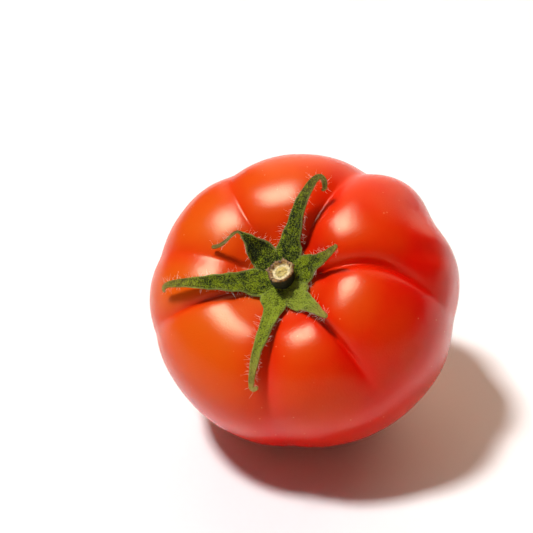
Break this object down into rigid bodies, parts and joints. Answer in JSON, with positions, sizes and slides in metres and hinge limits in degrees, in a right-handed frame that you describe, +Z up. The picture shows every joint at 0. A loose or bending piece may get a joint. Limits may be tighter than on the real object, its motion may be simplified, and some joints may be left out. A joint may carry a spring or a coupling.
{
  "type": "tomato",
  "caption": "Ripe ribbed beefsteak tomato lying on its side, with green calyx leaves and a short dry stub of stem.",
  "frame": {"origin": "on the flat spot that the fruit rests on, straight below the middle of the fruit", "axes": "+Z up from the surface it rests on; the stem end leans towards -Y and a little towards -X; +X is to the right of someone who faces the stem end"},
  "size_m": [0.0835, 0.0806, 0.082],
  "materials": {
    "skin": "smooth waxy skin, deep red on the belly and orange red around the stem",
    "sepal": "matt green leaf with fine pale hairs, yellower at the tips",
    "calyx": "matt light green where the sepals join",
    "stem": "green bark with a dry corky cut end and pale pith"
  },
  "bodies": {
    "root": {"fruit": "skin", "calyx_base": "calyx", "stem_stub": "stem", "sepal_back": "sepal", "sepal_folded": "sepal", "sepal_left": "sepal", "sepal_front": "sepal", "sepal_stubby": "sepal", "sepal_right": "sepal"}
  },
  "joints": []
}
